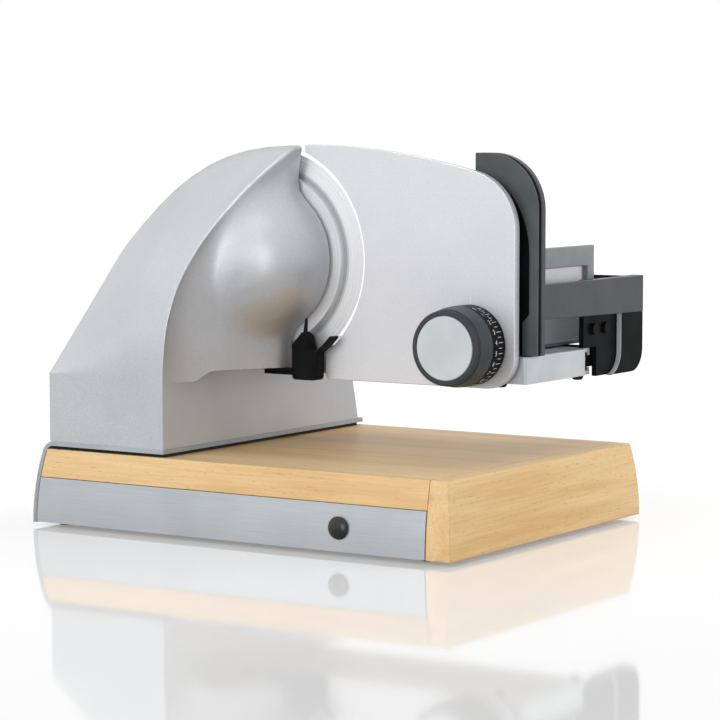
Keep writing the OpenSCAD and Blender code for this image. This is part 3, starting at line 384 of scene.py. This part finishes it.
def addHousing():
    shape = mergedCopy("housing", housing["flat"])

    def onCrease(vert):
        near = housing["near"] * mm
        return abs(vert.co.z - housing["crease"] * mm) < near and vert.co.y < housingLow.y + near

    limit = math.radians(housing["least"])
    edges = [edge for edge in edgesOver(shape, housing["creaseTurn"])
             if edge.calc_face_angle(0) > limit or all(onCrease(vert) for vert in edge.verts)]
    roundEdges(shape, edges, housing["edge"], 2)
    addPiece("motorHousing", asMesh(shape, "motorHousing"), bodyOf["housing"],
             finish["silver_casting"], ("housing",), housing["sharp"])


addHousing()
print("housing made")


def spunPiece(name, node, axis, outline, rounding, material=None, steps=128, least=20, sharp=35):
    # outline holds (radius, depth) in mm, depth along Y from the axis point; it is turned about that axis
    shape = bmesh.new()
    corners = [shape.verts.new(axis + Vector((radius * mm, depth * mm, 0))) for radius, depth in outline]
    for first, second in zip(corners, corners[1:]):
        shape.edges.new((first, second))
    bmesh.ops.spin(shape, geom=shape.verts[:] + shape.edges[:], cent=axis, axis=(0, 1, 0), angle=2 * math.pi,
                   steps=steps, use_merge=True)
    bmesh.ops.remove_doubles(shape, verts=shape.verts, dist=weld)
    bmesh.ops.recalc_face_normals(shape, faces=shape.faces)
    roundEdges(shape, edgesOver(shape, least), rounding)
    addPiece(name, asMesh(shape, name), bodyOf[node], material or finish[slotOf[node]],
             (node,), sharp)


# Blade: flat middle, soft step, ground band with a thin edge
blade = {"band": 13, "step": 5, "rise": 0.7, "sheet": 1.5, "bore": 4, "edge": 0.25}
bladeAxis = Vector((bladeCentre.x, bladeHigh.y, bladeCentre.z))
bladeR = (bladeHigh.x - bladeLow.x) / 2 / mm
bladeDeep = (bladeHigh.y - bladeLow.y) / mm
bandR = bladeR - blade["band"]
stepR = bandR - blade["step"]
boreR, rise, sheet = blade["bore"], blade["rise"], blade["sheet"]
spunPiece("slicingBlade", "blade", bladeAxis, [
    (boreR, -bladeDeep), (stepR, -bladeDeep), (stepR + 1.2, -bladeDeep + 1.3), (bandR - 1.5, -rise - 2),
    (bandR, -rise - sheet), (bladeR - 1.2, -0.35), (bladeR, -0.05), (bladeR - 0.1, 0),
    (bandR, -rise), (stepR - 1, sheet - bladeDeep), (boreR, sheet - bladeDeep), (boreR, -bladeDeep)],
    blade["edge"], least=14, sharp=50)
print("blade made")

# Thickness knob: grip with a rim round its light inlay and a cove behind it, and the ring with the scale
knob = {"inlayR": 24, "rim": 4.1, "hubR": 8, "boreR": 5.05, "boreFrom": 4, "wall": 5, "floor": 3,
        "edge": 0.2, "inlayEdge": 0.1}
gripLow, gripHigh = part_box("knob_grip")
ringLow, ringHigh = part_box("scale_ring")
ringR = (ringHigh.x - ringLow.x) / 2 / mm
ringFrom = (ringLow.y - gripLow.y) / mm
ringWide = (ringHigh.y - ringLow.y) / mm
hubEnd = (gripHigh.y - gripLow.y) / mm
inlayR, hubR = knob["inlayR"], knob["hubR"]
rimR = inlayR + knob["rim"]
wallR = ringR - knob["wall"]
knobAxis = Vector(((ringLow.x + ringHigh.x) / 2, gripLow.y, (ringLow.z + ringHigh.z) / 2))
spunPiece("knobGrip", "knob_grip", knobAxis, [
    (0, 1), (inlayR, 1), (inlayR, 0.3), (rimR - 3.8, 0), (rimR - 1.5, 0), (rimR - 0.5, 0.5),
    (rimR, 1.5), (rimR - 0.1, 2.5), (rimR - 1.3, 3.2), (rimR - 1.3, 4.2), (rimR + 0.5, 5.4),
    (ringR - 1.2, 9.5), (ringR - 0.3, 15), (ringR, ringFrom), (hubR, ringFrom), (hubR, hubEnd),
    (knob["boreR"], hubEnd), (knob["boreR"], knob["boreFrom"]), (0, knob["boreFrom"])],
    knob["edge"], gripGrey, least=40, sharp=50)
spunPiece("knobInlay", "knob_inlay", knobAxis, [
    (0, -0.1), (inlayR - 1, -0.05), (inlayR - 0.3, 0.3), (inlayR, 1), (0, 1)], knob["inlayEdge"])
spunPiece("scaleRing", "scale_ring", knobAxis + Vector((0, ringLow.y - gripLow.y, 0)), [
    (hubR, 0), (ringR, 0), (ringR, ringWide), (wallR, ringWide), (wallR, knob["floor"]),
    (hubR, knob["floor"]), (hubR, 0)], knob["edge"])

# Scale: plain numbers read towards the plate, with a long mark at each and short ones between
scale = {
    "first": 68, "turn": -15.3, "last": 20, "fineTo": 2, "figureAt": 5, "figureTall": 5.2, "proud": 0.12,
    "markFrom": 8.6, "long": 6.1, "half": 4.2, "fine": 2.6, "markWide": 0.38,
}


def addScalePrint():
    shape = bmesh.new()

    def onRing(across, up, turn):
        angle = math.radians(turn) + up / (ringR * mm)
        reach = (ringR + scale["proud"]) * mm
        right, high = reach * math.cos(angle), reach * math.sin(angle)
        return (knobAxis.x + right, ringLow.y + across, knobAxis.z + high)

    def mark(turn, length):
        line = bmesh.ops.create_cube(shape, size=mm)["verts"]
        across = scale["markFrom"] + length / 2
        around = Matrix.Rotation(math.radians(-turn), 3, "Y")
        bmesh.ops.scale(shape, vec=(2 * scale["proud"], length, scale["markWide"]), verts=line)
        bmesh.ops.translate(shape, vec=(ringR * mm, across * mm, 0), verts=line)
        bmesh.ops.rotate(shape, cent=(0, 0, 0), matrix=around, verts=line)
        bmesh.ops.translate(shape, vec=(knobAxis.x, ringLow.y, knobAxis.z), verts=line)

    for number in range(scale["last"] + 1):
        turn = scale["first"] + scale["turn"] * number
        words = bpy.data.curves.new("figure", "FONT")
        words.body = str(number)
        words.size = scale["figureTall"] * mm
        words.align_x, words.align_y = "CENTER", "CENTER"
        holder = bpy.data.objects.new("figure", words)
        flat = bpy.data.meshes.new_from_object(holder)
        before = len(shape.verts)
        shape.from_mesh(flat)
        shape.verts.ensure_lookup_table()
        for vert in shape.verts[before:]:
            vert.co = onRing(scale["figureAt"] * mm + vert.co.x, vert.co.y, turn)
        bpy.data.objects.remove(holder)
        bpy.data.curves.remove(words)
        bpy.data.meshes.remove(flat)
        mark(turn, scale["long"])
        if number < scale["last"]:
            mark(turn + scale["turn"] / 2, scale["half"])
            if number < scale["fineTo"]:
                mark(turn + scale["turn"] / 4, scale["fine"])
                mark(turn + scale["turn"] * 3 / 4, scale["fine"])
    addPiece("scalePrint", asMesh(shape, "scalePrint"), bodyOf["scale_ring"], whitePrint)


addScalePrint()

# Index mark on the plate above the knob
index = {"over": 1.6, "tall": 2.6, "wide": 0.6, "dot": 1.1, "dotSides": 24, "proud": 0.1}
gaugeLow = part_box("gauge_plate")[0]


def addIndexMark():
    shape = bmesh.new()
    middle = Vector((knobAxis.x, gaugeLow.y, knobAxis.z + (ringR + index["over"]) * mm))
    line = bmesh.ops.create_cube(shape, size=mm)["verts"]
    bmesh.ops.scale(shape, vec=(index["wide"], 2 * index["proud"], index["tall"]), verts=line)
    bmesh.ops.translate(shape, vec=middle, verts=line)
    dotR = index["dot"] / 2 * mm
    dot = bmesh.ops.create_cone(shape, cap_ends=True, segments=index["dotSides"], radius1=dotR, radius2=dotR,
                                depth=2 * index["proud"] * mm)["verts"]
    bmesh.ops.rotate(shape, cent=(0, 0, 0), matrix=Matrix.Rotation(math.radians(90), 3, "X"), verts=dot)
    bmesh.ops.translate(shape, vec=middle + Vector((0, 0, index["tall"] * mm)), verts=dot)
    addPiece("indexMark", asMesh(shape, "indexMark"), bodyOf["gauge_plate"], whitePrint)


addIndexMark()
print("knob and scale made")

# Drawer knob: low black dome
pull = {"out": 4.5, "neckR": 3.5, "boreR": 2, "boreFrom": 3, "edge": 0.15}
pullLow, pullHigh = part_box("drawer_knob")
pullR = (pullHigh.x - pullLow.x) / 2 / mm
pullDeep = (pullHigh.y - pullLow.y) / mm
pullAxis = Vector(((pullLow.x + pullHigh.x) / 2, pullLow.y, (pullLow.z + pullHigh.z) / 2))
spunPiece("drawerPull", "drawer_knob", pullAxis, [
    (0, 0), (pullR * 0.25, 0.16), (pullR * 0.5, 0.68), (pullR * 0.7, 1.4), (pullR * 0.86, 2.3),
    (pullR * 0.96, 3.1), (pullR, 3.8), (pullR, pull["out"]), (pull["neckR"], pull["out"]),
    (pull["neckR"], pullDeep), (pull["boreR"], pullDeep), (pull["boreR"], pull["boreFrom"]),
    (0, pull["boreFrom"])], pull["edge"], pullBlack, least=45, sharp=50)
print("drawer knob made")

# Slide block: the part in the rail's slot, drawn on to the rail's end, where its black end shows
slide = {"endGap": 0.6, "edge": 0.3, "least": 40}
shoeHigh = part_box("carriage_shoe")[1]
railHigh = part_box("rail")[1]


def addSlideBlock():
    shape = mergedCopy("carriage_shoe")
    farEnd = [vert for vert in shape.verts if vert.co.x > shoeHigh.x - mm]
    bmesh.ops.translate(shape, verts=farEnd, vec=(railHigh.x - slide["endGap"] * mm - shoeHigh.x, 0, 0))
    roundEdges(shape, edgesOver(shape, slide["least"]), slide["edge"], 2)
    addPiece("slideBlock", asMesh(shape, "slideBlock"), bodyOf["carriage_shoe"],
             finish["black_plastic"], ("carriage_shoe",))


addSlideBlock()

# Painted highlight: a light grey strip on the front edge of the leg under the grip band, standing in for the
# highlight on the leg's rounded edge
highlightStrip = {"fromBack": 36, "bend": 18, "inset": 0.3, "wide": 4, "deep": 1.2, "proud": 0.5, "top": 165.5,
        "sweep": -84, "steps": 14, "edge": 0.4, "least": 50}
coverLow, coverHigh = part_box("slide_cover")


def addLegTrim():
    shape = bmesh.new()
    front = coverHigh.y - (highlightStrip["fromBack"] + highlightStrip["proud"]) * mm
    right = coverHigh.x - highlightStrip["inset"] * mm
    sides = (right - highlightStrip["wide"] * mm, right)
    bendAt = coverLow.z + highlightStrip["bend"] * mm
    outline = [(sides[0], front), (sides[1], front), (sides[1], front + highlightStrip["deep"] * mm),
               (sides[0], front + highlightStrip["deep"] * mm)]
    top = shape.faces.new([shape.verts.new((x, y, highlightStrip["top"] * mm)) for x, y in outline])
    straight = bmesh.ops.extrude_face_region(shape, geom=[top])["geom"]
    moved = [item for item in straight if isinstance(item, bmesh.types.BMVert)]
    bmesh.ops.translate(shape, verts=moved, vec=(0, 0, bendAt - highlightStrip["top"] * mm))
    bendCentre = (0, coverHigh.y - (highlightStrip["fromBack"] + highlightStrip["bend"]) * mm, bendAt)
    bmesh.ops.spin(shape, geom=straight, cent=bendCentre, axis=(1, 0, 0), angle=math.radians(highlightStrip["sweep"]),
                   steps=highlightStrip["steps"])
    bmesh.ops.recalc_face_normals(shape, faces=shape.faces)
    roundEdges(shape, edgesOver(shape, highlightStrip["least"]), highlightStrip["edge"])
    addPiece("legTrim", asMesh(shape, "legTrim"), bodyOf["slide_cover"],
             finish["light_grey_plastic"])


addLegTrim()
print("carriage trim made")

# Floor, light and camera
studio = {"floor": rgb(205, 205, 205), "glow": 0.27, "gloss": 0.06, "floorSize": 30,
          "world": 0.4, "tilt": 0.34, "from": (-0.62, -0.78, 0.1)}
# power in watts, then size, place and target in metres
lamps = {
    "keyLight": {"power": 34, "size": (1.6, 1.6), "place": (-0.68, -2.7, 1.2), "target": (0, 0, 0.12)},
    "spotLight": {"power": 9, "size": (0.75, 1.0), "place": (1.05, -2.36, 0.5), "target": (-0.05, -0.08, 0.2),
                  "mirrored": True},
    "rimLight": {"power": 8, "size": (0.3, 0.6), "place": (-0.3, -1.05, 2.1), "target": (-0.05, -0.1, 0.25),
                 "mirrored": True, "only": ("motorHousing", "gaugePlate")},
    "fillLight": {"power": 24, "size": (1.6, 1.6), "place": (0.75, 1.35, 2.58), "target": (0, 0, 0.1)},
    "sideLight": {"power": 48, "size": (1.2, 0.8), "place": (2.4, 1.8, 0.5), "target": (0, 0, 0.1)},
}


def addFloor():
    # white for the camera without more light on the object, and it keeps the shadow and a faint reflection
    shape = bmesh.new()
    bmesh.ops.create_grid(shape, x_segments=1, y_segments=1, size=studio["floorSize"] / 2)
    floor = bpy.data.objects.new("floor", asMesh(shape, "floor"))
    bpy.context.scene.collection.objects.link(floor)
    material, tree, shader = newMaterial("paleFloor")
    shader.inputs["Base Color"].default_value = studio["floor"]
    shader.inputs["Roughness"].default_value = studio["gloss"]
    glow = addNode(tree, "ShaderNodeEmission")
    path = addNode(tree, "ShaderNodeLightPath")
    share = addNode(tree, "ShaderNodeMath", operation="MULTIPLY")
    share.inputs[1].default_value = studio["glow"]
    both = addNode(tree, "ShaderNodeAddShader")
    tree.links.new(path.outputs["Is Camera Ray"], share.inputs[0])
    tree.links.new(share.outputs[0], glow.inputs["Strength"])
    tree.links.new(shader.outputs[0], both.inputs[0])
    tree.links.new(glow.outputs[0], both.inputs[1])
    tree.links.new(both.outputs[0], tree.nodes["Material Output"].inputs["Surface"])
    floor.data.materials.append(material)


def addLight(name, power, size, place, target, mirrored=False, only=()):
    # a lamp that isn't mirrored leaves no image of itself in the floor and the metal
    lamp = bpy.data.lights.new(name, "AREA")
    lamp.shape = "RECTANGLE"
    lamp.size, lamp.size_y = size
    lamp.energy = power
    light = bpy.data.objects.new(name, lamp)
    light.location = place
    light.visible_glossy = mirrored
    light.rotation_euler = (Vector(target) - Vector(place)).to_track_quat("-Z", "Y").to_euler()
    bpy.context.scene.collection.objects.link(light)
    if only:
        # a small lamp that lights these pieces alone, so that the floor shows no image of it
        receivers = bpy.data.collections.new(name)
        for piece in only:
            receivers.objects.link(bpy.data.objects[piece])
        light.light_linking.receiver_collection = receivers


addFloor()
for name, lamp in lamps.items():
    addLight(name, **lamp)
world = bpy.data.worlds.new("studio")
bpy.context.scene.world = world
world.use_nodes = True
tree = world.node_tree
sky = tree.nodes["Background"]
# soft light from all round, a little stronger from the front left
heading = addNode(tree, "ShaderNodeTexCoord")
facing = addNode(tree, "ShaderNodeVectorMath", operation="DOT_PRODUCT")
facing.inputs[1].default_value = studio["from"]
tree.links.new(heading.outputs["Generated"], facing.inputs[0])
low, high = studio["world"] - studio["tilt"], studio["world"] + studio["tilt"]
tree.links.new(remap(tree, facing.outputs["Value"], low, high, -1, 1), sky.inputs["Strength"])
sky.inputs["Color"].default_value = (1, 1, 1, 1)
# plain white where the camera, a reflection or glass sees it
white = addNode(tree, "ShaderNodeBackground")
white.inputs["Color"].default_value = (1, 1, 1, 1)
seen = addNode(tree, "ShaderNodeLightPath")
cameraOrGloss = addNode(tree, "ShaderNodeMath", operation="MAXIMUM")
anyShown = addNode(tree, "ShaderNodeMath", operation="MAXIMUM")
pick = addNode(tree, "ShaderNodeMixShader")
tree.links.new(seen.outputs["Is Camera Ray"], cameraOrGloss.inputs[0])
tree.links.new(seen.outputs["Is Glossy Ray"], cameraOrGloss.inputs[1])
tree.links.new(cameraOrGloss.outputs[0], anyShown.inputs[0])
tree.links.new(seen.outputs["Is Transmission Ray"], anyShown.inputs[1])
tree.links.new(anyShown.outputs[0], pick.inputs["Fac"])
tree.links.new(sky.outputs[0], pick.inputs[1])
tree.links.new(white.outputs[0], pick.inputs[2])
tree.links.new(pick.outputs[0], tree.nodes["World Output"].inputs["Surface"])
bpy.context.scene.view_settings.view_transform = "Standard"

view = {"fromBase": (1.1601, -1.7675, 0.3088), "azimuth": 32.84, "down": 4.89, "lens": 135.2, "sensor": 36}
plateLow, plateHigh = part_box("base_plate")
lens = bpy.data.cameras.new("camera")
lens.lens = view["lens"]
lens.sensor_width = view["sensor"]
camera = bpy.data.objects.new("camera", lens)
baseCentre = Vector(((plateLow.x + railEndHigh.x) / 2, (plateLow.y + plateHigh.y) / 2, 0))
camera.location = baseCentre + Vector(view["fromBase"])
camera.rotation_euler = (math.radians(90 - view["down"]), 0, math.radians(view["azimuth"]))
bpy.context.scene.collection.objects.link(camera)
bpy.context.scene.camera = camera
print("stage made")
